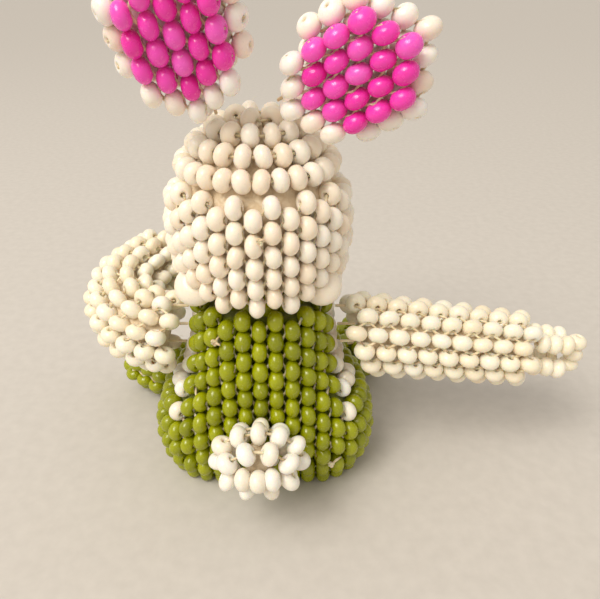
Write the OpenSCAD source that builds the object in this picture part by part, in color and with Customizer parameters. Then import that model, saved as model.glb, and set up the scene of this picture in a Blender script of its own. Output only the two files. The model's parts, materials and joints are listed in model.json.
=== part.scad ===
// Beaded bunny: seed beads woven on thread around soft stuffing.
// Millimetres, +Z up, the face looks to +Y and the tail is at -Y.

/* [Beads] */
// Outer diameter of a seed bead
bead_d = 2.06; // [1.7:0.02:2.48]
// Length of a seed bead along its hole
bead_l = 1.22; // [1.02:0.02:1.48]
// Diameter of the hole through a bead
hole_d = 0.76; // [0.6:0.02:0.9]
// Thickness of the beading thread
thread_d = 0.3; // [0.2:0.02:0.36]

/* [Body] */
// Half rows of beads from the rim up to the shoulders
body_rows = 19; // [16:1:23]
// How far the hips spread on each side, in bead columns
hips = 2.8; // [2:0.1:3.4]

/* [Head] */
// Height of the dome above the widest row
crown_h = 9.8; // [8.2:0.1:11.8]
// Half rows of beads round the head
head_rows = 10; // [8:1:12]

/* [Limbs] */
// Rows of beads along each arm
arm_rows = 9; // [6:1:11]
// How far the right arm droops
arm_droop = 8; // [4:1:12]
// How far each ear is tipped back
ear_back = 22; // [8:1:28]
// Rows of beads along each ear
ear_rows = 6; // [5:1:7]
// Rows of beads along each leg
leg_rows = 3; // [3:1:6]

/* [Hidden] */
fine = 32;
gap = 0.1;
clear = 0.4;
col_p = bead_l + 0.39;
row_p = bead_d + 0.1;
half_p = row_p / 2;
bead_r = bead_d / 2;
soft_in = 0.45;

// ---- rules shared by all the woven tubes ----
function clamp(x, lo = 0, hi = 1) = min(hi, max(lo, x));
function total(v, n, i = 0) = i >= n ? 0 : v[i] + total(v, n, i + 1);
// Smallest ring that holds n beads side by side
function ring_r(n, deep = 0.25) = (col_p - gap) / 2 / tan(180 / n) + deep * bead_d;
// How many beads fit side by side on a ring
function ring_n(r) = floor(180 / atan((col_p - gap) / 2 / (r - 0.3 * bead_d)));

// One seed bead, hole along X
module bead(l = bead_l) {
  rotate([0, 90, 0])
    rotate_extrude($fn = fine)
      intersection() {
        circle(d = bead_d, $fn = fine);
        translate([hole_d / 2, -l / 2]) square([bead_d, l]);
      }
}

// Closed ring of thread lying flat
module loop(r) {
  rotate_extrude($fn = 48) translate([r, 0]) circle(d = thread_d, $fn = 12);
}

// Straight thread along X, centred
module strand(l, d = thread_d) {
  rotate([0, 90, 0]) cylinder(h = l, d = d, center = true, $fn = 12);
}

// Closed ring of thread along points given as [x, y, outward x, outward y]
module cord_ring(points) {
  q = thread_d / 2;
  n = len(points);
  ring = [for (p = points) for (c = [[-q, 0], [0, -q], [q, 0], [0, q]])
    [p[0] + p[2] * c[0], p[1] + p[3] * c[0], c[1]]];
  polyhedron(ring, [for (k = [0:n - 1]) for (m = [0:3])
    let (a = k * 4, b = ((k + 1) % n) * 4, d = (m + 1) % 4) each [[a + m, a + d, b + d], [a + m, b + d, b + m]]]);
}

// Knot drawn down to a small lump
module knot() { sphere(d = 2.6 * thread_d, $fn = 16); }

// A flat ring of beads side by side
module bead_ring(r, n, turn = 0) {
  for (k = [0:n - 1]) rotate([0, 0, turn + k * 360 / n]) translate([0, -r, 0]) bead();
}

// ---- body: a rounded box section that spreads into a skirt ----
waist_cols = 28;
// Share of the hips at each height, height in rows
hip_at = [[0, 0.62], [0.5, 0.72], [1.5, 0.94], [2.4, 1], [3.2, 0.98], [4.4, 0.78], [5.4, 0.46], [6.4, 0.17], [7.4, 0]];
// How far the back and front bulge at each height, in column pitches
bulge_at = [[0, -0.9], [0.5, -0.6], [1.5, 0.1], [2.4, 0.42], [3.4, 0.45], [4.4, 0.36], [6.4, 0.1], [8, 0]];
// How far the section is drawn in towards the neck, in column pitches
neck_in = [[6.4, 0], [8.8, 0.4], [10, 0.8]];
waist_a = ring_r(waist_cols) * 0.97;
hip_out = hips * col_p;
function neck(z) = lookup(z / row_p - body_rows / 2 + 8.5, neck_in) * col_p;
function sec_a(z) = waist_a + hip_out * lookup(z / row_p, hip_at) - neck(z);
function sec_b(z) = waist_a * 0.95 + lookup(z / row_p, bulge_at) * col_p - neck(z);
function sec_r(z) = min(sec_a(z) * 0.72, sec_b(z) * 0.84);
function section(z, off = 0) = [sec_a(z) + off, sec_b(z) + off, sec_r(z) + off];
function lean(z) = min(abs(sec_a(z + half_p) - sec_a(z)), abs(sec_b(z + half_p) - sec_b(z))) / half_p;
function rise(z) = half_p * cos(atan(lean(z)));
// Heights of the half rows, spaced along the slope
row_z = [for (j = 0, z = bead_r; j <= body_rows; z = z + rise(z), j = j + 1) z];
body_top = row_z[body_rows];

// Half of the way round a section
function half_way(s) = 2 * (s[0] - s[2]) + 2 * (s[1] - s[2]) + PI * s[2];
// Point and heading at arc distance t from the middle of the back
function on_section(s, t) =
  let (r = s[2], f = s[0] - r, q = PI * r / 2, g = 2 * (s[1] - r))
  t <= f ? [t, -s[1], 0]
  : t <= f + q ? let (w = (t - f) / r * 180 / PI) [f + r * sin(w), -s[1] + r - r * cos(w), w]
  : t <= f + q + g ? [s[0], -s[1] + r + t - f - q, 90]
  : t <= f + 2 * q + g ? let (w = (t - f - q - g) / r * 180 / PI)
    [f + r * cos(w), s[1] - r + r * sin(w), 90 + w]
  : [f - (t - f - 2 * q - g), s[1], 180];

// The back and front panels are columns at a fixed distance from their middle; the
// sides between them are plain rows, with more beads where the hips are wider
panel_k = 5;
panel_t = (panel_k + 0.5) * col_p + 0.1;
rim_j = 2;
function side_room(z) = half_way(section(z)) - 2 * panel_t;
function side_n(z) = floor((side_room(z) + 0.05) / (col_p - gap));
function round_n(z) = floor(2 * half_way(section(z)) / (col_p - 0.03));
// White patches under the arms end in one bead
patch_j = 8;
function is_white(j, m) = j > patch_j ? m < 3 : j == patch_j && m < 1;

module body_bead(z, t, side) {
  p = on_section(section(z), t);
  translate([side * p[0], p[1], z]) rotate([0, 0, side * p[2]]) bead();
}
// Beads of half rows lo to hi of one panel
module body_panel(front, lo, hi) {
  for (j = [lo:hi]) for (k = [j % 2:2:panel_k]) for (side = (k == 0 ? [1] : [-1, 1]))
    body_bead(row_z[j], front ? half_way(section(row_z[j])) - k * col_p : k * col_p, side);
}
// Beads of the plain rows at one side
module body_side(white, side) {
  for (j = [rim_j + 2:2:body_rows]) {
    n = side_n(row_z[j]);
    for (m = [0:n - 1]) if (is_white(j, m) == white)
      body_bead(row_z[j], panel_t + (m + 0.5) * side_room(row_z[j]) / n, side);
  }
}
// A whole plain row round the hem
module hem_row(j) {
  z = row_z[j];
  n = floor(round_n(z) / 2) * 2;
  for (k = [0:n / 2]) for (side = (k == 0 || k == n / 2 ? [1] : [-1, 1]))
    body_bead(z, k * half_way(section(z)) * 2 / n, side);
}
module body_back_beads() { color("#8f9a1c") body_panel(false, rim_j + 2, body_rows); }
module body_front_beads() { color("#8f9a1c") body_panel(true, rim_j + 2, body_rows); }
module hip_beads() { color("#8f9a1c") { body_side(false, -1); body_side(false, 1); } }
module hem_beads() { color("#8f9a1c") hem_row(rim_j); }
module base_rim_beads() { color("#8f9a1c") hem_row(0); }
module left_side_patch_beads() { color("#f2eee4") body_side(true, -1); }
module right_side_patch_beads() { color("#f2eee4") body_side(true, 1); }

// Closed ring of thread round the section at height z
module section_loop(z, off = 0, n = 32) {
  s = section(z, off);
  translate([0, 0, z]) cord_ring([for (k = [0:n - 1])
    let (e = k < n / 2 ? 1 : -1, t = (e > 0 ? k : n - k) / (n / 2) * half_way(s), p = on_section(s, t))
    [p[0] * e, p[1], sin(p[2]) * e, -cos(p[2])]]);
}
// Knots that show on the outside of the body: half row, place in columns and side
body_knots = [[body_rows - 2, 2.8, -1], [rim_j + 1, 4.6, 1]];
module body_thread() {
  color("#d8d0b4") {
    for (j = [0, rim_j, each [rim_j + 2:body_rows]]) section_loop(row_z[j]);
    for (w = body_knots) let (p = on_section(section(row_z[w[0]], 0.8), w[1] * col_p))
      translate([w[2] * p[0], p[1], row_z[w[0]]]) knot();
  }
}

// The underside is closed by one more round and a straight seam of beads
under_z = bead_r + 0.25;
under_in = -(row_p + 0.06);
under_s = section(row_z[0], under_in);
seam_n = floor(2 * (under_s[0] - row_p) / (col_p - gap));
module underside_beads() {
  n = floor(half_way(under_s) / max(col_p + 0.12, 0.84 * bead_d)) * 2;
  color("#8f9a1c") translate([0, 0, under_z]) {
    for (k = [0:n / 2]) for (side = (k == 0 || k == n / 2 ? [1] : [-1, 1]))
      let (p = on_section(under_s, k * half_way(under_s) * 2 / n))
        translate([side * p[0], p[1], 0]) rotate([0, 0, side * p[2]]) bead();
    for (k = [0:seam_n - 1]) translate([(k - (seam_n - 1) / 2) * (col_p - gap), 0, 0]) bead();
  }
}
module underside_thread() {
  color("#d8d0b4") {
    translate([0, 0, under_z - row_z[0]]) section_loop(row_z[0], under_in);
    translate([0, 0, under_z]) strand(seam_n * (col_p - gap));
  }
}
neck_z = body_top + 0.2;
neck_out = section(body_top)[1] - row_p;
neck_r = neck_out - ring_r(4, 0.4) > row_p ? [neck_out, ring_r(4, 0.4)] : [neck_out];
module neck_cap_beads() {
  color("#8f9a1c") for (r = neck_r) translate([0, 0, neck_z]) bead_ring(r, ring_n(r), 9);
}
// Stitches from the neck up into the head
module neck_stitches() {
  color("#dccfb0") for (k = [0:5]) rotate([0, 0, k * 60 + 20]) translate([0, -1.6, neck_z + 1.3]) rotate([0, 90, 0])
    strand(1.1);
}
module neck_cap_thread() { color("#d8d0b4") for (r = neck_r) translate([0, 0, neck_z]) loop(r); }

// Stuffing that fills the body
module body_stuffing() {
  n = 40;
  zs = [under_z + 0.3, for (j = [3:2:body_rows]) row_z[j], neck_z];
  m = len(zs);
  pts = [for (k = [0:m - 1]) let (s = section(zs[k], k == 0 ? -2.2 : k == m - 1 ? -2.6 : -soft_in))
    for (a = [0:n - 1]) let (e = a < n / 2 ? 1 : -1, t = (e > 0 ? a : n - a) / (n / 2) * half_way(s),
      p = on_section(s, t)) [p[0] * e, p[1], zs[k]]];
  side = [for (k = [0:m - 2]) for (a = [0:n - 1]) let (b = (a + 1) % n, o = k * n)
    each [[o + a, o + b + n, o + b], [o + a, o + a + n, o + b + n]]];
  caps = [for (a = [0:n - 1]) let (b = (a + 1) % n)
    each [[a, b, m * n], [(m - 1) * n + b, (m - 1) * n + a, m * n + 1]]];
  color("#e8e2d2") polyhedron([each pts, [0, 0, zs[0]], [0, 0, zs[m - 1]]], concat(side, caps));
}

// ---- head: an egg of rings sewn on over the neck ----
head_cols = 32;
head_r = ring_r(head_cols) + 0.12;
head_edge_r = ring_r(head_cols - 4) + 0.16;
edge_z = body_top + row_p + 0.32;
cheek_h = 13.5 * row_p / 2.16;
edge_t = -acos(head_edge_r / head_r);
head_z = edge_z - cheek_h * sin(edge_t);
function head_h(t) = t < 0 ? cheek_h : crown_h;
function head_at(t) = [head_r * cos(t), head_z + head_h(t) * sin(t)];
function head_turn(t, d) = d / norm([head_r * sin(t), head_h(t) * cos(t)]) * 180 / PI;
// Angle one step of length d further up the egg
function head_next(t, d) = let (m = t + head_turn(t, d) / 2, u = t + head_turn(m, d))
  m < 0 && u > 0 ? u * cheek_h / crown_h : u;
// Angle of each half row on the egg
head_t = [for (j = 0, t = edge_t; j < head_rows; t = head_next(t, half_p + 0.02), j = j + 1) t];
eye_j = 7;
module head_bead(j, t, side) {
  p = head_at(head_t[j]);
  rotate([0, 0, side * t / p[0] * 180 / PI]) translate([0, -p[0], p[1]]) bead();
}
function head_half(j) = PI * head_at(head_t[j])[0];
function is_eye(j, k) = k == 3 && j == eye_j;
function is_nose(j, k) = k == 0 && j == eye_j - 3;
// kind: 0 back, 1 front, 2 eyes, 3 nose
module head_panel(which) {
  for (j = [0:head_rows - 1]) for (k = [j % 2:2:panel_k]) for (side = (k == 0 ? [1] : [-1, 1])) {
    if (which == 0) head_bead(j, k * col_p, side);
    if (which == (is_eye(j, k) ? 2 : is_nose(j, k) ? 3 : 1)) head_bead(j, head_half(j) - k * col_p, side);
  }
}
module head_sides() {
  for (j = [0:2:head_rows - 1]) {
    room = head_half(j) - 2 * panel_t;
    n = floor((room + 0.05) / (col_p - gap));
    for (m = [0:n - 1]) for (side = [-1, 1]) head_bead(j, panel_t + (m + 0.5) * room / n, side);
  }
}
module head_back_beads() { color("#efe6d6") head_panel(0); }
module head_front_beads() { color("#efe6d6") head_panel(1); }
module head_side_beads() { color("#efe6d6") head_sides(); }
module eye_beads() { color("#151312") head_panel(2); }
module nose_bead() { color("#d9589c") head_panel(3); }
// Rounds of the crown; the last one is no smaller than a ring of four beads
crown_min = ring_r(4, 0.42);
crown_t = [for (k = 0, t = head_t[head_rows - 1]; k < 8;
  t = head_next(t, row_p + 0.04), k = k + 1) if (k > 0 && t < 86 && head_at(t)[0] > crown_min - 0.25) t];
module crown_beads() {
  color("#efe6d6") for (t = crown_t) let (p = head_at(t), r = max(p[0], crown_min))
    translate([0, 0, p[1]]) bead_ring(r, ring_n(r + 0.01), 11 * t);
}
module head_thread() {
  color("#dccfb0") {
    for (t = head_t) translate([0, 0, head_at(t)[1]]) loop(head_at(t)[0]);
    for (t = crown_t) translate([0, 0, head_at(t)[1]]) loop(max(head_at(t)[0], crown_min));
    rotate([0, 0, 4]) translate([0, -head_r - 0.85, head_z + 1.1]) knot();
  }
}
module head_stuffing() {
  pts = [for (j = [1:2:head_rows - 1]) head_at(head_t[j]) - [soft_in, 0]];
  top = [for (t = crown_t) head_at(t) - [soft_in, soft_in]];
  color("#e8e2d2") rotate_extrude($fn = 48)
    polygon(concat([[0, edge_z + 0.2], [head_edge_r - 2.2, edge_z + 0.2]], pts, top,
      [[0, head_z + crown_h - soft_in - 0.3]]));
}

// ---- arms: woven tubes, the left one bent at the elbow ----
arm_cols = 12;
arm_r = ring_r(arm_cols, 0.36);
wrist_r = arm_r - 0.35;
arm_z = body_top - 2.11 * bead_d;
arm_y = -1;
arm_p = row_p + 0.1;
arm_x = section(arm_z)[0] + 2 * bead_r + clear;
left_x = -arm_x - 0.23 * col_p * col_p;
// How far out the body reaches at a depth y from the arm's own line and a height z
function side_x(y, z) =
  let (s = section(z), d = max(0, abs(arm_y + y) - s[1] + s[2]))
  s[0] - s[2] + sqrt(max(0, s[2] * s[2] - d * d));
// First bead of each column of the right arm that clears the body
function arm_first(k) =
  let (a = k * 360 / arm_cols, x = side_x(-arm_r * sin(a), arm_z + arm_r * cos(a) - bead_r) + 2 * bead_r + clear)
  max(0, ceil((x + 0.25 * abs(sin(a)) - arm_x - arm_r * cos(a) * sin(arm_droop)) / arm_p - 0.5 * (k % 2)));
module at_right_shoulder() {
  translate([arm_x, arm_y, arm_z]) rotate([0, arm_droop, 3]) children();
}
module at_left_shoulder() {
  translate([left_x, arm_y, arm_z]) rotate([80, -10, 182]) children();
}
function taper(s) = arm_r + (wrist_r - arm_r) * clamp(s / (arm_rows * arm_p));
module right_arm_beads() {
  color("#f0e8da") at_right_shoulder() for (k = [0:arm_cols - 1]) for (m = [arm_first(k):arm_rows - 1])
    let (s = (m + 0.5 * (k % 2)) * arm_p)
      rotate([k * 360 / arm_cols, 0, 0]) translate([s, 0, taper(s)]) rotate([0, 0, 90]) bead();
}
module right_arm_thread() {
  color("#dccfb0") at_right_shoulder() for (j = [2:2 * arm_rows - 1])
    translate([j * arm_p / 2, 0, 0]) rotate([0, 90, 0]) loop(taper(j * arm_p / 2));
}
module right_arm_stuffing() {
  color("#e8e2d2") at_right_shoulder() translate([half_p, 0, 0]) rotate([0, 90, 0])
    cylinder(h = (arm_rows - 1) * arm_p, r1 = arm_r - soft_in, r2 = wrist_r - soft_in, $fn = 48);
}
// Stitches that hold an arm to the body, along its line of swing
seam_x = section(arm_z)[0] + bead_r + 0.3;
module shoulder_stitches(root_x) {
  for (k = [-0.5:1:1.5]) let (z = k * 0.62 * arm_r, x = section(arm_z + z)[0] + bead_r + 0.2)
    translate([(x - root_x) / 2 + 0.25, 0, z]) strand(root_x - x + 0.5);
}
module left_shoulder_stitches() {
  color("#dccfb0") translate([left_x, arm_y, arm_z]) mirror([1, 0, 0]) shoulder_stitches(-left_x);
}
module right_shoulder_stitches() {
  color("#dccfb0") translate([arm_x, arm_y, arm_z]) shoulder_stitches(arm_x);
}
// Hand: four strands of three beads joined by a short column at the tip
hand_n = 3;
hand_p = bead_l + 0.2;
hand_y = bead_r + 0.08;
hand_z = bead_r + 0.5;
module hand_beads() {
  for (y = [-1, 1]) for (z = [-1, 1]) for (m = [0:hand_n - 1])
    translate([(m + 0.5) * hand_p, y * hand_y, z * hand_z]) bead();
  for (m = [-1:1]) translate([hand_n * hand_p + bead_r, 0, m * hand_p]) rotate([0, 90, 0]) bead();
}
module hand_thread() {
  for (y = [-1, 1]) for (z = [-1, 1])
    translate([hand_n * hand_p / 2, y * hand_y, z * hand_z]) strand(hand_n * hand_p);
  translate([hand_n * hand_p + bead_r, 0, 0]) rotate([0, 90, 0]) strand(3.4 * hand_p);
}
right_hand_x = (arm_rows - 0.5) * arm_p + bead_r + gap;
module right_hand_beads() { color("#f0e8da") at_right_shoulder() translate([right_hand_x, 0, 0]) hand_beads(); }
module right_hand_thread() {
  color("#dccfb0") at_right_shoulder() translate([right_hand_x, 0, 0]) {
    hand_thread();
    translate([hand_n * hand_p + bead_r, 0, -1.75 * hand_p]) knot();
  }
}

// Left arm: straight, round the elbow, straight again
bend_r = 5.5;
bend_a = 118;
upper_l = 0.1 * row_p;
fore_l = 3 * row_p;
// Carries children to distance s along a path whose bend has radius r
module along(s, r) {
  turn = r * bend_a * PI / 180;
  a = clamp((s - upper_l) / r * 180 / PI, 0, bend_a);
  translate([min(s, upper_l), 0, bend_r]) rotate([0, -a, 0])
    translate([max(0, s - upper_l - turn), 0, -bend_r]) children();
}
module left_arm_half(lo, hi) {
  for (k = [0:arm_cols - 1]) {
    r = bend_r - arm_r * cos(k * 360 / arm_cols);
    full = upper_l + r * bend_a * PI / 180 + fore_l;
    step = row_p + 0.25 / (r * r);
    n = floor(full / step);
    for (m = [0:n - 1]) {
      s = (m + 0.5 * (k % 2)) * step;
      share = s / full;
      if (share >= lo && share < hi)
        along(s, r) rotate([-k * 360 / arm_cols, 0, 0]) translate([0, 0, arm_r]) rotate([0, 0, 90]) bead();
    }
  }
}
module left_upper_arm_beads() { color("#f0e8da") at_left_shoulder() left_arm_half(0, 0.5); }
module left_forearm_beads() { color("#f0e8da") at_left_shoulder() left_arm_half(0.5, 1.1); }
left_full = upper_l + bend_r * bend_a * PI / 180 + fore_l;
module left_arm_thread() {
  color("#dccfb0") at_left_shoulder() for (s = [0:half_p:left_full - half_p])
    along(s, bend_r) rotate([0, 90, 0]) loop(arm_r);
}
module left_arm_stuffing() {
  r = arm_r - soft_in;
  color("#e8e2d2") at_left_shoulder() {
    rotate([0, 90, 0]) cylinder(h = upper_l + 0.5, r = r - 0.1, $fn = 48);
    translate([upper_l, 0, bend_r]) rotate([90, 0, 0]) rotate([0, 0, -90])
      rotate_extrude(angle = bend_a, $fn = 48) translate([bend_r, 0]) circle(r = r, $fn = 48);
    along(upper_l + bend_r * bend_a * PI / 180, bend_r) translate([-0.5, 0, 0]) rotate([0, 90, 0])
      cylinder(h = fore_l - bead_r + 0.5, r = r - 0.1, $fn = 48);
  }
}
module at_left_wrist() { at_left_shoulder() along(left_full + 0.2, bend_r) children(); }
module left_hand_beads() { color("#f0e8da") at_left_wrist() hand_beads(); }
module left_hand_thread() { color("#dccfb0") at_left_wrist() hand_thread(); }

// ---- legs: short tubes that point out and forward from the skirt ----
leg_cols = 10;
leg_r = ring_r(leg_cols, 0.36);
leg_z = leg_r + bead_r + 0.05;
leg_in = section(leg_z)[0];
// How far each leg turns out from straight ahead
left_splay = 54;
right_splay = 30;
module at_leg(side) {
  splay = side < 0 ? left_splay : right_splay;
  translate([side * leg_in * 0.5, leg_in * 0.42, leg_z]) rotate([0, 0, 90 - side * splay])
    translate([leg_in * 0.5 + bead_d + 0.5, 0, 0]) children();
}
leg_tip = (leg_rows + 0.55) * row_p;
module leg_beads() {
  for (k = [0:leg_cols - 1]) for (m = [0:leg_rows - 1])
    let (s = (m + 0.5 * (k % 2)) * row_p)
      rotate([k * 360 / leg_cols, 0, 0]) translate([s, 0, leg_r]) rotate([0, 0, 90]) bead();
  translate([leg_tip, 0, 0]) rotate([0, 90, 0]) bead_ring(ring_r(5, 0.42), 5);
}
module leg_thread() {
  for (j = [0:2 * leg_rows - 1]) translate([j * half_p, 0, 0]) rotate([0, 90, 0]) loop(leg_r);
  translate([leg_tip, 0, 0]) rotate([0, 90, 0]) loop(ring_r(5, 0.42));
}
module leg_stuffing() { rotate([0, 90, 0]) cylinder(h = leg_rows * row_p, r = leg_r - soft_in, $fn = 48); }
// Stitches between a leg and the hem
module leg_stitches() {
  for (a = [-60, 0, 60, 180]) rotate([a, 0, 0]) translate([-1.2, 0, leg_r - 0.6]) strand(2.2);
}
module left_leg_stitches() { color("#d8d0b4") at_leg(-1) leg_stitches(); }
module right_leg_stitches() { color("#d8d0b4") at_leg(1) leg_stitches(); }
module left_leg_beads() { color("#8f9a1c") at_leg(-1) leg_beads(); }
module right_leg_beads() { color("#8f9a1c") at_leg(1) leg_beads(); }
module left_leg_thread() { color("#d8d0b4") at_leg(-1) leg_thread(); }
module right_leg_thread() { color("#d8d0b4") at_leg(1) leg_thread(); }
module left_leg_stuffing() { color("#e8e2d2") at_leg(-1) leg_stuffing(); }
module right_leg_stuffing() { color("#e8e2d2") at_leg(1) leg_stuffing(); }

// ---- ears: a white layer curled round a pink lining that faces the tail ----
ear_out = 5.1;
function dome_z(r) = head_z + crown_h * sqrt(1 - pow(r / head_r, 2));
// Ear frame: Z runs up the ear, X across it, -Y is the pink side
// How far behind the middle of the head both ears are sewn
ear_behind = 3.3;
// Sideways tip of each ear, how far in from the crown it is sewn, and how high
left_tip = 9;
right_tip = 58;
left_sewn = [1.2, 0.05];
right_sewn = [4.5, 0.38];
module at_ear(side) {
  sewn = side < 0 ? left_sewn : right_sewn;
  x = ear_out - sewn[0];
  translate([side * x, -ear_behind, dome_z(norm([x, ear_behind])) + sewn[1]])
    rotate([ear_back, side * (side < 0 ? left_tip : right_tip), 0]) translate([0, 0, bead_d + 0.55]) children();
}
white_cols = 3;
pink_cols = 2;
ear_curl = max(9.6, 0.872 * pow(col_p * bead_d, 2));
module on_curl(x, r) { translate([0, -r, 0]) rotate([0, 0, x / r * 180 / PI]) translate([0, r, 0]) children(); }
module ear_white_beads() {
  ear_front(true);
  for (i = [-white_cols:white_cols]) for (m = [0:ear_rows])
    let (z = (m + 0.5 * (abs(i) % 2)) * row_p)
      if (z >= abs(i) * 0.55 * row_p && z <= (ear_rows + 0.5 - abs(i) * 0.45) * row_p)
        translate([0, row_p + 0.05, z]) on_curl(i * (col_p + 0.03), ear_curl) bead();
}
// The front layer: its lowest beads are a white cuff, the rest are the pink lining
module ear_front(cuff) {
  for (i = [-pink_cols:pink_cols]) for (m = [0:ear_rows])
    let (z = (m + 0.5 * ((abs(i) + 1) % 2)) * row_p)
      if (z >= (0.3 + abs(i) * 0.4) * row_p && z <= (ear_rows - abs(i) * 0.4) * row_p)
        if ((z < (1.2 + abs(i) * 0.2) * row_p) == cuff)
          translate([0, -0.22, z]) on_curl(i * col_p, 24) bead();
}
module ear_thread() {
  for (m = [1:2 * ear_rows - 2]) let (a = 5.6 / ear_curl * 180 / PI)
    translate([0, row_p + 0.05 - ear_curl, m * half_p]) rotate([0, 0, 90 - a / 2]) rotate_extrude(angle = a, $fn = 48)
      translate([ear_curl, 0]) circle(d = thread_d, $fn = 12);
}
// Stitches between an ear and the crown
module ear_stitches() {
  for (x = [-0.9, 0, 0.9]) translate([x, row_p + 0.05, -0.8]) rotate([0, 90, 0]) strand(0.5);
}
module left_ear_stitches() { color("#e6d8c0") at_ear(-1) ear_stitches(); }
module right_ear_stitches() { color("#e6d8c0") at_ear(1) ear_stitches(); }
module left_ear_white_beads() { color("#f4ede2") at_ear(-1) ear_white_beads(); }
module right_ear_white_beads() { color("#f4ede2") at_ear(1) ear_white_beads(); }
module left_ear_pink_beads() { color("#e0359f") at_ear(-1) ear_front(false); }
module right_ear_pink_beads() { color("#e0359f") at_ear(1) ear_front(false); }
module left_ear_thread() { color("#e6d8c0") at_ear(-1) ear_thread(); }
module right_ear_thread() { color("#e6d8c0") at_ear(1) ear_thread(); }

// ---- tail: a small woven ball, wider than it is high ----
tail_z = 9.0;
tail_grow = max(bead_d, 1.28 * col_p);
tail_w = 1.99 * tail_grow;
tail_h = 1.432 * tail_grow;
tail_deep = tail_h;
tail_y = -section(tail_z)[1] - bead_d - tail_deep * 0.72 - clear;
// Each round of the tail: its angle from the tip, its number of beads and its first bead's place
tail_rounds = [[1, 1, 0], [20, 2, 0], [54, 8, 0.5], [96, 11, 0.75], [140, 7, 0.75]];
function tail_half(t, n = 24) = [for (k = 0, s = 0; k <= n;
  s = s + 180 / n * PI / 180 * norm([tail_w * sin((k + 0.5) * 180 / n), tail_h * cos((k + 0.5) * 180 / n)]) * sin(t),
  k = k + 1) [s, k * 180 / n]];
// Angle round the tail at arc distance s on the round at angle t
function tail_turn(t, s) =
  let (table = tail_half(t), half = table[24][0], u = s % (2 * half))
  u < half ? lookup(u, table) : 180 + lookup(u - half, table);
module at_tail() { translate([0, tail_y, tail_z]) rotate([90, 0, 0]) children(); }
module tail_beads() {
  color("#f3efe6") at_tail() for (t = tail_rounds) {
    step = 2 * tail_half(t[0])[24][0] / t[1];
    for (k = [0:t[1] - 1]) {
      a = tail_turn(t[0], (k + t[2]) * step);
      out = atan2(tail_w * sin(a), tail_h * cos(a));
      translate([tail_w * sin(t[0]) * cos(a), tail_h * sin(t[0]) * sin(a), tail_deep * cos(t[0])])
        rotate([0, 0, t[1] < 3 ? 8 : out + 90 + (k % 2 == 0 ? 9 : -7)]) bead();
    }
  }
}
// Thread through each round of the tail, and the stitch that holds it on
module tail_thread() {
  color("#dccfb0") at_tail() {
    for (t = tail_rounds) if (t[1] > 2) translate([0, 0, tail_deep * cos(t[0])])
      cord_ring([for (a = [0:15:345]) let (w = [tail_w * cos(a), tail_h * sin(a)] * sin(t[0]),
        v = [tail_h * cos(a), tail_w * sin(a)] / norm([tail_h * cos(a), tail_w * sin(a)])) [w[0], w[1], v[0], v[1]]]);
    translate([0, 0, -tail_deep * 0.7]) rotate([0, 90, 0]) strand(1.2);
  }
}
module tail_stuffing() { color("#e8e2d2") at_tail() sphere(r = tail_h - soft_in - 0.6, $fn = 32); }

body_back_beads();
body_front_beads();
hip_beads();
hem_beads();
base_rim_beads();
left_side_patch_beads();
right_side_patch_beads();
body_thread();
underside_beads();
underside_thread();
neck_cap_beads();
neck_cap_thread();
body_stuffing();
head_back_beads();
head_front_beads();
head_side_beads();
eye_beads();
nose_bead();
crown_beads();
head_thread();
head_stuffing();
right_arm_beads();
right_arm_thread();
right_arm_stuffing();
right_hand_beads();
right_hand_thread();
left_upper_arm_beads();
left_forearm_beads();
left_arm_thread();
left_arm_stuffing();
left_hand_beads();
left_hand_thread();
left_leg_beads();
right_leg_beads();
left_leg_thread();
right_leg_thread();
left_leg_stuffing();
right_leg_stuffing();
left_ear_white_beads();
right_ear_white_beads();
left_ear_pink_beads();
right_ear_pink_beads();
left_ear_thread();
right_ear_thread();
tail_beads();
tail_stuffing();
left_shoulder_stitches();
right_shoulder_stitches();
left_ear_stitches();
right_ear_stitches();
left_leg_stitches();
right_leg_stitches();
tail_thread();
neck_stitches();
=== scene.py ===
import json
import math
import random

import bmesh
import bpy
import numpy as np
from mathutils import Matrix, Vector


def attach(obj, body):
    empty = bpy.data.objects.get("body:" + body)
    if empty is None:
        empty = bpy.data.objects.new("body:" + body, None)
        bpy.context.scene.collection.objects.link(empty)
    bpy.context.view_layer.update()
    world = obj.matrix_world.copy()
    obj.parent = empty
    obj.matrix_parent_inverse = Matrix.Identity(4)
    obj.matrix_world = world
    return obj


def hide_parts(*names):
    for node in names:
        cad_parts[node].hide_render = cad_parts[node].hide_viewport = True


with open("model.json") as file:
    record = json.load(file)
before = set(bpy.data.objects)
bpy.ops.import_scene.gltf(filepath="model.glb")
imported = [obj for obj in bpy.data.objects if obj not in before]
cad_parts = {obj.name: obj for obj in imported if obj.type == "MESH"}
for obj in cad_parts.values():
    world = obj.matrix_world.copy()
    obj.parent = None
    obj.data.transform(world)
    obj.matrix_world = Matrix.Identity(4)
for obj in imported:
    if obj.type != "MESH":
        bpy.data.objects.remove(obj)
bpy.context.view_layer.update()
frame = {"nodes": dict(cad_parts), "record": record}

MM = 0.001
dice = random.Random(11)


# ---------------------------------------------------------------- materials
# size of each marking on the real material
GLASS_CLOUD = 1.1 * MM
GLOSS_SMEAR = 0.35 * MM
GLASS_PIT = 0.12 * MM
THREAD_STAIN = 1.6 * MM
THREAD_PLY = 0.12 * MM
FIBRE_MAT = 0.7 * MM
FIBRE_HAIR = 0.15 * MM
PAPER_GRAIN = 1.5 * MM


def colour(code):
    """Linear RGBA from an sRGB hex code."""
    channels = [int(code[i:i + 2], 16) / 255 for i in (1, 3, 5)]
    return tuple(c / 12.92 if c <= 0.04045 else ((c + 0.055) / 1.055) ** 2.4
                 for c in channels) + (1.0,)


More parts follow.
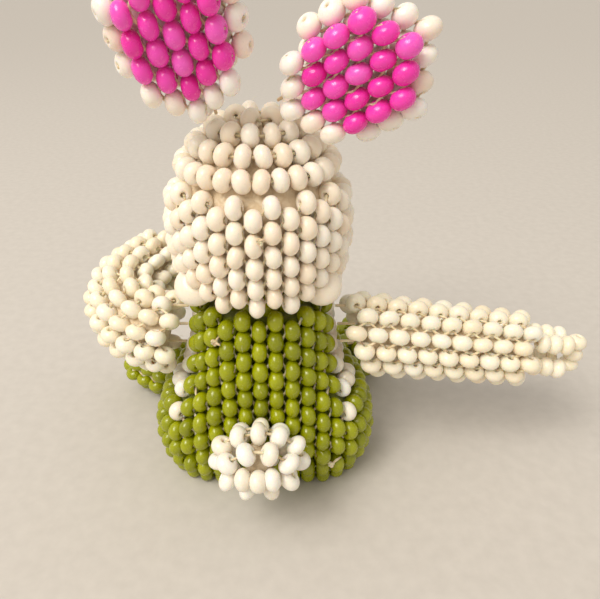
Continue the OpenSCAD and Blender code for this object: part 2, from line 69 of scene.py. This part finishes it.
def add(tree, kind, settings=None, links=()):
    """Adds a node. settings set its properties, inputs or ramp stops.

    Each link is (input, node, output).
    """
    node = tree.nodes.new(kind)
    for key, value in (settings or {}).items():
        if key == "stops":
            band = node.color_ramp.elements
            while len(band) < len(value):
                band.new(0.5)
            for stop, (position, shade) in zip(band, value):
                stop.position = position
                stop.color = colour(shade)
        elif isinstance(key, int) or key in node.inputs:
            node.inputs[key].default_value = value
        else:
            setattr(node, key, value)
    for into, source, out in links:
        tree.links.new(source.outputs[out], node.inputs[into])
    return node


def new_material(name):
    material = bpy.data.materials.new(name)
    material.use_nodes = True
    tree = material.node_tree
    shader = tree.nodes["Principled BSDF"]
    place = add(tree, "ShaderNodeTexCoord")
    return material, tree, shader, place


def seed_bead_glass(name, dark, main, light, rough, glow=0.3, depth=0.6, deep=None,
                    bleed=(1.0, 0.8, 0.55)):
    """Drawn glass cane cut into beads and tumbled in heat until the ends round over.

    Each bead is a slightly different shade, faintly clouded inside the glass, and tumbling
    leaves a softly uneven gloss with fine pits.
    """
    material, tree, shader, place = new_material(name)
    island = add(tree, "ShaderNodeNewGeometry")
    shade = add(tree, "ShaderNodeValToRGB", {"stops": [(0.0, dark), (0.5, main), (1.0, light)]},
                [("Fac", island, "Random Per Island")])
    cloud = add(tree, "ShaderNodeTexNoise", {"Scale": 1 / GLASS_CLOUD, "Detail": 3.0},
                [("Vector", place, "Object")])
    cloudy = add(tree, "ShaderNodeMapRange", {"From Min": 0.3, "From Max": 0.7,
                                              "To Min": 0.0, "To Max": 0.16},
                 [("Value", cloud, "Fac")])
    mixed = add(tree, "ShaderNodeMix", {"data_type": "RGBA", 7: colour(deep or dark)},
                [("Factor", cloudy, "Result"), (6, shade, "Color")])
    tree.links.new(mixed.outputs[2], shader.inputs["Base Color"])
    smear = add(tree, "ShaderNodeTexNoise", {"Scale": 1 / GLOSS_SMEAR, "Detail": 2.0},
                [("Vector", place, "Object")])
    gloss = add(tree, "ShaderNodeMapRange", {"From Min": 0.3, "From Max": 0.7,
                                            "To Min": rough - 0.05, "To Max": rough + 0.09},
                [("Value", smear, "Fac")])
    tree.links.new(gloss.outputs["Result"], shader.inputs["Roughness"])
    pits = add(tree, "ShaderNodeTexNoise", {"Scale": 1 / GLASS_PIT, "Detail": 2.0},
               [("Vector", place, "Object")])
    bump = add(tree, "ShaderNodeBump", {"Strength": 0.12, "Distance": 0.01 * MM},
               [("Height", pits, "Fac")])
    tree.links.new(bump.outputs["Normal"], shader.inputs["Normal"])
    shader.inputs["IOR"].default_value = 1.52
    shader.inputs["Subsurface Weight"].default_value = glow
    shader.inputs["Subsurface Scale"].default_value = depth * MM
    shader.inputs["Subsurface Radius"].default_value = bleed
    shader.inputs["Coat Weight"].default_value = 0.1
    shader.inputs["Coat Roughness"].default_value = 0.12
    return material


def thread_material(name, main, stain):
    """Waxed cotton beading thread: a twisted ply with short loose fibres that catch the light."""
    material, tree, shader, place = new_material(name)
    stains = add(tree, "ShaderNodeTexNoise", {"Scale": 1 / THREAD_STAIN, "Detail": 3.0},
                 [("Vector", place, "Object")])
    shade = add(tree, "ShaderNodeValToRGB", {"stops": [(0.32, stain), (0.62, main)]},
                [("Fac", stains, "Fac")])
    tree.links.new(shade.outputs["Color"], shader.inputs["Base Color"])
    ply = add(tree, "ShaderNodeTexNoise", {"Scale": 1 / THREAD_PLY, "Detail": 4.0},
              [("Vector", place, "Object")])
    bump = add(tree, "ShaderNodeBump", {"Strength": 0.7, "Distance": 0.05 * MM}, [("Height", ply, "Fac")])
    tree.links.new(bump.outputs["Normal"], shader.inputs["Normal"])
    shader.inputs["Roughness"].default_value = 0.62
    shader.inputs["Sheen Weight"].default_value = 0.35
    shader.inputs["Sheen Roughness"].default_value = 0.4
    shader.inputs["Subsurface Weight"].default_value = 0.2
    shader.inputs["Subsurface Scale"].default_value = 0.3 * MM
    return material


def stuffing_material(name, dark, light):
    """Carded fibre packed by hand: matted, dull, and mottled at random between a darker and a lighter tone;
    the dark olive colour used for the body and legs is painted shade for the gaps between beads.
    """
    material, tree, shader, place = new_material(name)
    mats = add(tree, "ShaderNodeTexNoise", {"Scale": 1 / FIBRE_MAT, "Detail": 5.0, "Distortion": 1.2},
               [("Vector", place, "Object")])
    shade = add(tree, "ShaderNodeValToRGB", {"stops": [(0.3, dark), (0.7, light)]},
                [("Fac", mats, "Fac")])
    tree.links.new(shade.outputs["Color"], shader.inputs["Base Color"])
    hair = add(tree, "ShaderNodeTexNoise", {"Scale": 1 / FIBRE_HAIR, "Detail": 4.0, "Distortion": 2.0},
               [("Vector", place, "Object")])
    bump = add(tree, "ShaderNodeBump", {"Strength": 0.9, "Distance": 0.08 * MM}, [("Height", hair, "Fac")])
    tree.links.new(bump.outputs["Normal"], shader.inputs["Normal"])
    shader.inputs["Roughness"].default_value = 0.95
    shader.inputs["Sheen Weight"].default_value = 0.2
    return material


def floor_material():
    """Matte seamless paper with a faint even grain."""
    material, tree, shader, place = new_material("matte_paper_sweep")
    grain = add(tree, "ShaderNodeTexNoise", {"Scale": 1 / PAPER_GRAIN, "Detail": 3.0},
                [("Vector", place, "Object")])
    shade = add(tree, "ShaderNodeValToRGB", {"stops": [(0.3, "#c9c3bb"), (0.7, "#cfc9c1")]},
                [("Fac", grain, "Fac")])
    tree.links.new(shade.outputs["Color"], shader.inputs["Base Color"])
    shader.inputs["Roughness"].default_value = 0.9
    return material


OLIVE = seed_bead_glass("olive_green_translucent_glass", "#868c00", "#979d00", "#a5aa02", 0.22,
                        glow=0.6, depth=0.9, deep="#757b00", bleed=(1.0, 0.95, 0.1))
IVORY = seed_bead_glass("ivory_opaque_glass", "#f6e6d0", "#faeddb", "#fdf3e6", 0.3, glow=0.5, deep="#eed9bd")
CREAM = seed_bead_glass("cream_opaque_glass", "#f7e9cf", "#fbf0da", "#fdf5e5", 0.3, glow=0.5, deep="#efddbc")
CHALK = seed_bead_glass("chalk_white_opaque_glass", "#f1e8d6", "#f9f2e4", "#fdf9f0", 0.28, glow=0.5,
                        deep="#eadcc2")
PEARL = seed_bead_glass("pinkish_white_opaque_glass", "#f5e2d2", "#fcf0e4", "#fff7f0", 0.3, glow=0.55,
                        deep="#f4dac8")
MAGENTA = seed_bead_glass("magenta_milky_glass", "#ec2ca6", "#f844ba", "#ff6cd0", 0.22, glow=0.6, depth=0.9,
                          deep="#dc1c98", bleed=(1.0, 0.45, 0.85))
JET = seed_bead_glass("jet_black_glass", "#0c0b0c", "#121112", "#1a181a", 0.14, glow=0.0)
THREAD = thread_material("waxed_cream_beading_thread", "#efe2c0", "#cdb68c")
# painted shade: the body and leg stuffing is coloured dark olive so that the gaps between the green beads
# look shadowed
CORE_PAINTED_SHADE = stuffing_material("olive_painted_shade_fibre_stuffing", "#565c06", "#7a820f")
CORE_PALE = stuffing_material("raw_fibre_stuffing", "#d8c09a", "#efdfc4")


# ---------------------------------------------------------------- meshes
# points this close are one point, and beads are put in order on a grid this fine
SAME_POINT = 1e-7
SAME_PLACE = 0.05 * MM


def new_piece(name, verts, faces, material):
    mesh = bpy.data.meshes.new(name)
    mesh.from_pydata([tuple(v) for v in verts], [], faces)
    mesh.materials.append(material)
    mesh.polygons.foreach_set("use_smooth", [True] * len(mesh.polygons))
    mesh.update()
    piece = bpy.data.objects.new(name, mesh)
    bpy.context.scene.collection.objects.link(piece)
    return piece


def islands_of(node):
    """Points of each separate solid in a CAD node, in metres."""
    work = bmesh.new()
    work.from_mesh(frame["nodes"][node].data)
    bmesh.ops.remove_doubles(work, verts=work.verts, dist=SAME_POINT)
    seen = set()
    found = []
    for start in work.verts:
        if start in seen:
            continue
        seen.add(start)
        island = [start]
        for vert in island:
            for edge in vert.link_edges:
                other = edge.other_vert(vert)
                if other not in seen:
                    seen.add(other)
                    island.append(other)
        found.append(np.array([v.co[:] for v in island]))
    work.free()
    return found


def beads_of(node):
    """(centre, hole direction, diameter, length) of each bead in a CAD node, in metres."""
    found = []
    for points in islands_of(node):
        centre = points.mean(axis=0)
        _, axes = np.linalg.eigh(np.cov((points - centre).T))
        axis = axes[:, 0]
        along = (points - centre) @ axis
        across = np.linalg.norm((points - centre) - np.outer(along, axis), axis=1)
        middle = centre + axis * (along.max() + along.min()) / 2
        found.append((middle, axis, 2 * across.max(), along.max() - along.min()))
    found.sort(key=lambda bead: tuple(np.round(bead[0] / SAME_PLACE)))
    return found


# corners round a bead, on its outer curve, and round its whole section
ROUND = 24
OUTER = 11
PROFILE = OUTER + 4
# share of the radius where the lip begins, and of the half length where it ends and the hole starts
LIP = 0.42
LIP_END = 0.96
HOLE_START = 0.8
HOLE = 0.45 * MM
# the CAD bead is cut short so that solids stay apart; this is the length against it
FULL_LENGTH = 1.25
MOST_LEAN = 2.2
SLACK = 0.02 * MM


def bead_shape(diameter, length, hole, squareness):
    """A tumbled bead with its hole along X.

    It has an oval outer curve, a rounded lip at each end and a straight hole.
    """
    lip = LIP * diameter / 2
    half = length / 2
    last = math.acos((2 * lip / diameter) ** (squareness / 2))
    reach = half / math.sin(last) ** (2 / squareness)
    section = []
    for k in range(OUTER):
        a = last * (2 * k / (OUTER - 1) - 1)
        section.append((reach * math.copysign(abs(math.sin(a)) ** (2 / squareness), a),
                        diameter / 2 * math.cos(a) ** (2 / squareness)))
    inner = hole / 2
    section += [(half * LIP_END, (lip + inner) / 2), (half * HOLE_START, inner),
                (-half * HOLE_START, inner), (-half * LIP_END, (lip + inner) / 2)]
    turn = [2 * math.pi * k / ROUND for k in range(ROUND)]
    return np.array([(x, r * math.cos(t), r * math.sin(t)) for t in turn for x, r in section])


RING_FACES = [(t * PROFILE + k, t * PROFILE + (k + 1) % PROFILE,
               (t + 1) % ROUND * PROFILE + (k + 1) % PROFILE, (t + 1) % ROUND * PROFILE + k)
              for t in range(ROUND) for k in range(PROFILE)]


def basis(axis):
    """Two directions square to axis."""
    other = np.array((0.0, 0.0, 1.0)) if abs(axis[2]) < 0.8 else np.array((0.0, 1.0, 0.0))
    u = np.cross(axis, other)
    u /= np.linalg.norm(u)
    return u, np.cross(axis, u)


def bead_piece(name, node, body, material, tilt, fat):
    """Every bead of a CAD node as a tumbled bead with its own small faults."""
    verts = []
    faces = []
    beads = beads_of(node)
    for centre, axis, diameter, length in beads:
        u, v = basis(axis)
        lean = math.radians(min(MOST_LEAN, abs(dice.gauss(0, 1))) * tilt)
        turn = dice.uniform(0, 2 * math.pi)
        axis = axis * math.cos(lean) + (u * math.cos(turn) + v * math.sin(turn)) * math.sin(lean)
        u, v = basis(axis)
        size = fat * dice.uniform(0.965, 1.025)
        shape = bead_shape(diameter * size, length * FULL_LENGTH * dice.uniform(0.93, 1.06),
                           HOLE * dice.uniform(0.8, 1.2), dice.uniform(1.95, 2.2))
        # one side of a cut bead is often a little longer than the other
        shape[:, 0] += shape[:, 1] * dice.uniform(-0.05, 0.05)
        spot = centre + (u * dice.gauss(0, 1) + v * dice.gauss(0, 1)) * SLACK
        start = len(verts) * len(shape)
        verts.append(spot + shape @ np.array((axis, u, v)))
        faces += [tuple(start + i for i in face) for face in RING_FACES]
    piece = new_piece(name, np.concatenate(verts), faces, material)
    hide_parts(node)
    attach(piece, body)
    return beads


# the beads that each long thread runs through
HEAD = ("head_back_beads", "head_front_beads", "head_side_beads", "eye_beads", "nose_bead", "crown_beads")
BODY = ("body_back_beads", "body_front_beads", "hip_beads", "hem_beads", "base_rim_beads",
        "left_side_patch_beads", "right_side_patch_beads")
LOOKS = {
    "green_beads": OLIVE, "ivory_beads": IVORY, "white_beads": CHALK, "pink_beads": MAGENTA,
    "nose_bead": MAGENTA, "black_beads": JET,
}
node_slot = {part["node"]: part["material_slot"] for part in frame["record"]["subparts"]}
node_body = {node: body for body, nodes in frame["record"]["behaviour"]["bodies"].items() for node in nodes}


def look_of(node):
    if "arm" in node or "hand" in node:
        return CREAM
    if "ear_white" in node:
        return PEARL
    return LOOKS[node_slot[node]]


# (how far beads lean in degrees, size against the CAD bead)
WEAVE = {"tail_beads": (14.0, 1.1), "crown_beads": (9.0, 1.07)}
SMALL_PARTS = (7.0, 1.05)
PANELS = (5.5, 1.06)
woven = {}
for node, slot in node_slot.items():
    if "bead" in node:
        usual = SMALL_PARTS if "ear_" in node or "hand" in node else PANELS
        loose, fat = WEAVE.get(node, usual)
        woven[node] = bead_piece("glass_" + node, node, node_body[node], look_of(node),
                                 loose, fat)


# ---------------------------------------------------------------- thread
SIDES = 7
THREAD_R = 0.14 * MM
LINT_R = 0.01 * MM
# no lint stands off the beads near the ground, and one bead in this many has some
LINT_FROM = 4 * MM
LINT_EVERY = 6
# a solid smaller than this is a knot; size of its loops, spread of its cut ends and how they sag
KNOT_LIMIT = 1 * MM
KNOT_SIZE = 0.095 * MM
KNOT_ENDS = 0.22 * MM
KNOT_SAG = 0.1 * MM
# a thread leaves a bead at this share of its length, and steps to bead ends this near
BEAD_END = 0.42
STEP = 1.5 * MM
LEAST_STEP = 0.15 * MM
TUCKED = 0.25 * MM
OUTSIDE = 0.05 * MM


def tube(points, radius):
    """Verts and faces of a closed tube through points."""
    points = [np.array(p) for p in points]
    verts = []
    faces = []
    for i, point in enumerate(points):
        ahead = points[min(i + 1, len(points) - 1)] - points[max(i - 1, 0)]
        u, v = basis(ahead / np.linalg.norm(ahead))
        r = radius * (0.6 if i in (0, len(points) - 1) else 1.0)
        verts += [point + (u * math.cos(a) + v * math.sin(a)) * r
                  for a in (2 * math.pi * k / SIDES for k in range(SIDES))]
    for i in range(len(points) - 1):
        for k in range(SIDES):
            a = i * SIDES + k
            b = i * SIDES + (k + 1) % SIDES
            faces.append((a, b, b + SIDES, a + SIDES))
    faces.append(tuple(range(SIDES))[::-1])
    faces.append(tuple(range(len(verts) - SIDES, len(verts))))
    return verts, faces


def knot_runs(node):
    """A knot drawn tight, with two cut ends, wherever the CAD node has one."""
    runs = []
    for points in islands_of(node):
        if np.ptp(points, axis=0).max() > KNOT_LIMIT:
            continue
        centre = points.mean(axis=0)
        runs.append([centre + KNOT_SIZE * np.array((math.sin(t) + 2 * math.sin(2 * t), math.sin(3 * t),
                                                    math.cos(t) - 2 * math.cos(2 * t)))
                     for t in (2 * math.pi * k / 36 for k in range(37))])
        for _ in range(2):
            way = np.array([dice.gauss(0, 1) for _ in range(3)]) * KNOT_ENDS
            runs.append([centre, centre + way, centre + way * 2 + np.array((0, 0, -KNOT_SAG))])
    return runs


def lint_run(bead):
    """One loose fibre that stands off a bead and curls over."""
    centre, axis, diameter, length = bead
    u, v = basis(axis)
    a = dice.uniform(0, 2 * math.pi)
    out = u * math.cos(a) + v * math.sin(a)
    out[2] = abs(out[2])
    side = np.cross(out, axis) * dice.uniform(-0.6, 0.6) + axis * dice.uniform(-0.6, 0.6)
    reach = dice.uniform(0.4, 1.0) * MM
    return [centre + out * diameter * 0.45 + (out * math.sin(1.7 * f) + side * f * f) * reach
            for f in (0, 0.2, 0.4, 0.6, 0.8, 1.0)]


def thread_piece(name, node, bead_nodes):
    """The thread that runs through each bead and steps across to its neighbours."""
    beads = [bead for other in bead_nodes for bead in woven[other]]
    ends = []
    for index, (centre, axis, diameter, length) in enumerate(beads):
        ends += [(index, centre + axis * length * BEAD_END, axis),
                 (index, centre - axis * length * BEAD_END, -axis)]
    spots = np.array([end[1] for end in ends])
    runs = []
    for centre, axis, diameter, length in beads:
        runs.append([centre + axis * length * f for f in (-0.6, -0.3, 0.3, 0.6)])
    for i, (owner, spot, outward) in enumerate(ends):
        gap = spots - spot
        near = np.where(np.linalg.norm(gap, axis=1) < STEP)[0]
        for j in near:
            if j <= i or ends[j][0] == owner:
                continue
            step = gap[j]
            if step @ outward < LEAST_STEP or -step @ ends[j][2] < LEAST_STEP:
                continue
            bow = np.cross(step, outward) * dice.uniform(-0.12, 0.12)
            runs.append([spot - outward * TUCKED, spot + outward * OUTSIDE, spot + step / 2 + bow,
                         spot + step + ends[j][2] * OUTSIDE, spot + step - ends[j][2] * TUCKED])
    runs += knot_runs(node)
    verts = []
    faces = []
    high = [bead for bead in beads if bead[0][2] > LINT_FROM]
    lint = [lint_run(dice.choice(high)) for _ in range(len(high) // LINT_EVERY)]
    for number, run in enumerate(runs + lint):
        radius = THREAD_R * dice.uniform(0.8, 1.15) if number < len(runs) else LINT_R
        v, f = tube(run, radius)
        faces += [tuple(len(verts) + i for i in face) for face in f]
        verts += v
    piece = new_piece(name, verts, faces, THREAD)
    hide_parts(node)
    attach(piece, node_body[node])


THREADED = {
    "body_thread": BODY,
    "underside_thread": ("underside_beads",),
    "neck_cap_thread": ("neck_cap_beads",),
    "head_thread": HEAD,
    "right_arm_thread": ("right_arm_beads",),
    "left_arm_thread": ("left_upper_arm_beads", "left_forearm_beads"),
    "right_hand_thread": ("right_hand_beads",),
    "left_hand_thread": ("left_hand_beads",),
    "right_leg_thread": ("right_leg_beads",),
    "left_leg_thread": ("left_leg_beads",),
    "right_ear_thread": ("right_ear_white_beads", "right_ear_pink_beads"),
    "left_ear_thread": ("left_ear_white_beads", "left_ear_pink_beads"),
    "tail_thread": ("tail_beads",),
}
for node, bead_nodes in THREADED.items():
    thread_piece("beading_" + node, node, bead_nodes)
for node in node_slot:
    if "stitches" in node:
        frame["nodes"][node].data.materials.clear()
        frame["nodes"][node].data.materials.append(THREAD)


# ---------------------------------------------------------------- stuffing
EVEN_MESH = 0.45 * MM
LUMP_SIZE = 2.2 * MM
LUMP_HEIGHT = 0.5 * MM
PACKED_IN = 0.25 * MM


def stuffing_piece(node, material):
    """Lumpy hand-packed fibre in the space of a CAD stuffing core."""
    source = frame["nodes"][node]
    piece = bpy.data.objects.new("packed_" + node, source.data.copy())
    bpy.context.scene.collection.objects.link(piece)
    piece.data.materials.clear()
    piece.data.materials.append(material)
    mesh_again = piece.modifiers.new("even_mesh", "REMESH")
    mesh_again.mode = "VOXEL"
    mesh_again.voxel_size = EVEN_MESH
    mesh_again.use_smooth_shade = True
    lumps = bpy.data.textures.new(node + "_lumps", "CLOUDS")
    lumps.noise_scale = LUMP_SIZE
    push = piece.modifiers.new("lumps", "DISPLACE")
    push.texture = lumps
    push.texture_coords = "LOCAL"
    push.strength = LUMP_HEIGHT
    push.mid_level = 0.5 + PACKED_IN / LUMP_HEIGHT
    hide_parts(node)
    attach(piece, node_body[node])


for node in node_slot:
    if "stuffing" in node:
        # the body and legs get the dark olive stuffing, whose colour is painted shade in the gaps between
        # their beads
        dark = node == "body_stuffing" or "leg" in node
        stuffing_piece(node, CORE_PAINTED_SHADE if dark else CORE_PALE)


# ---------------------------------------------------------------- floor, light, camera
FLOOR_HALF = 6.0


def floor():
    corners = [(-FLOOR_HALF, -FLOOR_HALF, 0), (FLOOR_HALF, -FLOOR_HALF, 0),
               (FLOOR_HALF, FLOOR_HALF, 0), (-FLOOR_HALF, FLOOR_HALF, 0)]
    piece = new_piece("paper_floor", corners, [(0, 1, 2, 3)], floor_material())


def softbox(name, place, aim, width, power, tint):
    light = bpy.data.lights.new(name, "AREA")
    light.shape = "SQUARE"
    light.size = width
    light.energy = power
    light.color = tint
    lamp = bpy.data.objects.new(name, light)
    lamp.location = place
    lamp.rotation_euler = (Vector(aim) - Vector(place)).to_track_quat("-Z", "Y").to_euler()
    bpy.context.scene.collection.objects.link(lamp)


floor()
MIDDLE = (0.0, 0.0, 0.025)
sun = bpy.data.lights.new("window_light", "SUN")
sun.energy = 1.6
sun.angle = math.radians(30)
sun.color = (1.0, 0.95, 0.87)
sun_seat = bpy.data.objects.new("window_light", sun)
sun_seat.rotation_euler = (math.radians(42), 0, math.radians(-38))
bpy.context.scene.collection.objects.link(sun_seat)
softbox("key_above_left", (-0.16, -0.10, 0.30), MIDDLE, 0.16, 0.35, (1.0, 0.97, 0.92))
world = bpy.data.worlds.new("soft_room")
bpy.context.scene.world = world
world.use_nodes = True
world.node_tree.nodes["Background"].inputs["Color"].default_value = colour("#e6e0d8")
world.node_tree.nodes["Background"].inputs["Strength"].default_value = 0.75
bpy.context.scene.view_settings.view_transform = "Standard"


def camera():
    elevation = math.radians(29)
    distance = 60 * MM
    aim = Vector((4.0, -3.42, 22.27)) * MM
    lens = bpy.data.cameras.new("camera")
    lens.sensor_fit = "HORIZONTAL"
    lens.sensor_width = 36.0
    lens.lens = 36.0
    lens.clip_start = 1 * MM
    seat = bpy.data.objects.new("camera", lens)
    away = Vector((0, -math.cos(elevation), math.sin(elevation)))
    seat.location = aim + away * distance
    seat.rotation_euler = (-away).to_track_quat("-Z", "Y").to_euler()
    bpy.context.scene.collection.objects.link(seat)
    bpy.context.scene.camera = seat


camera()
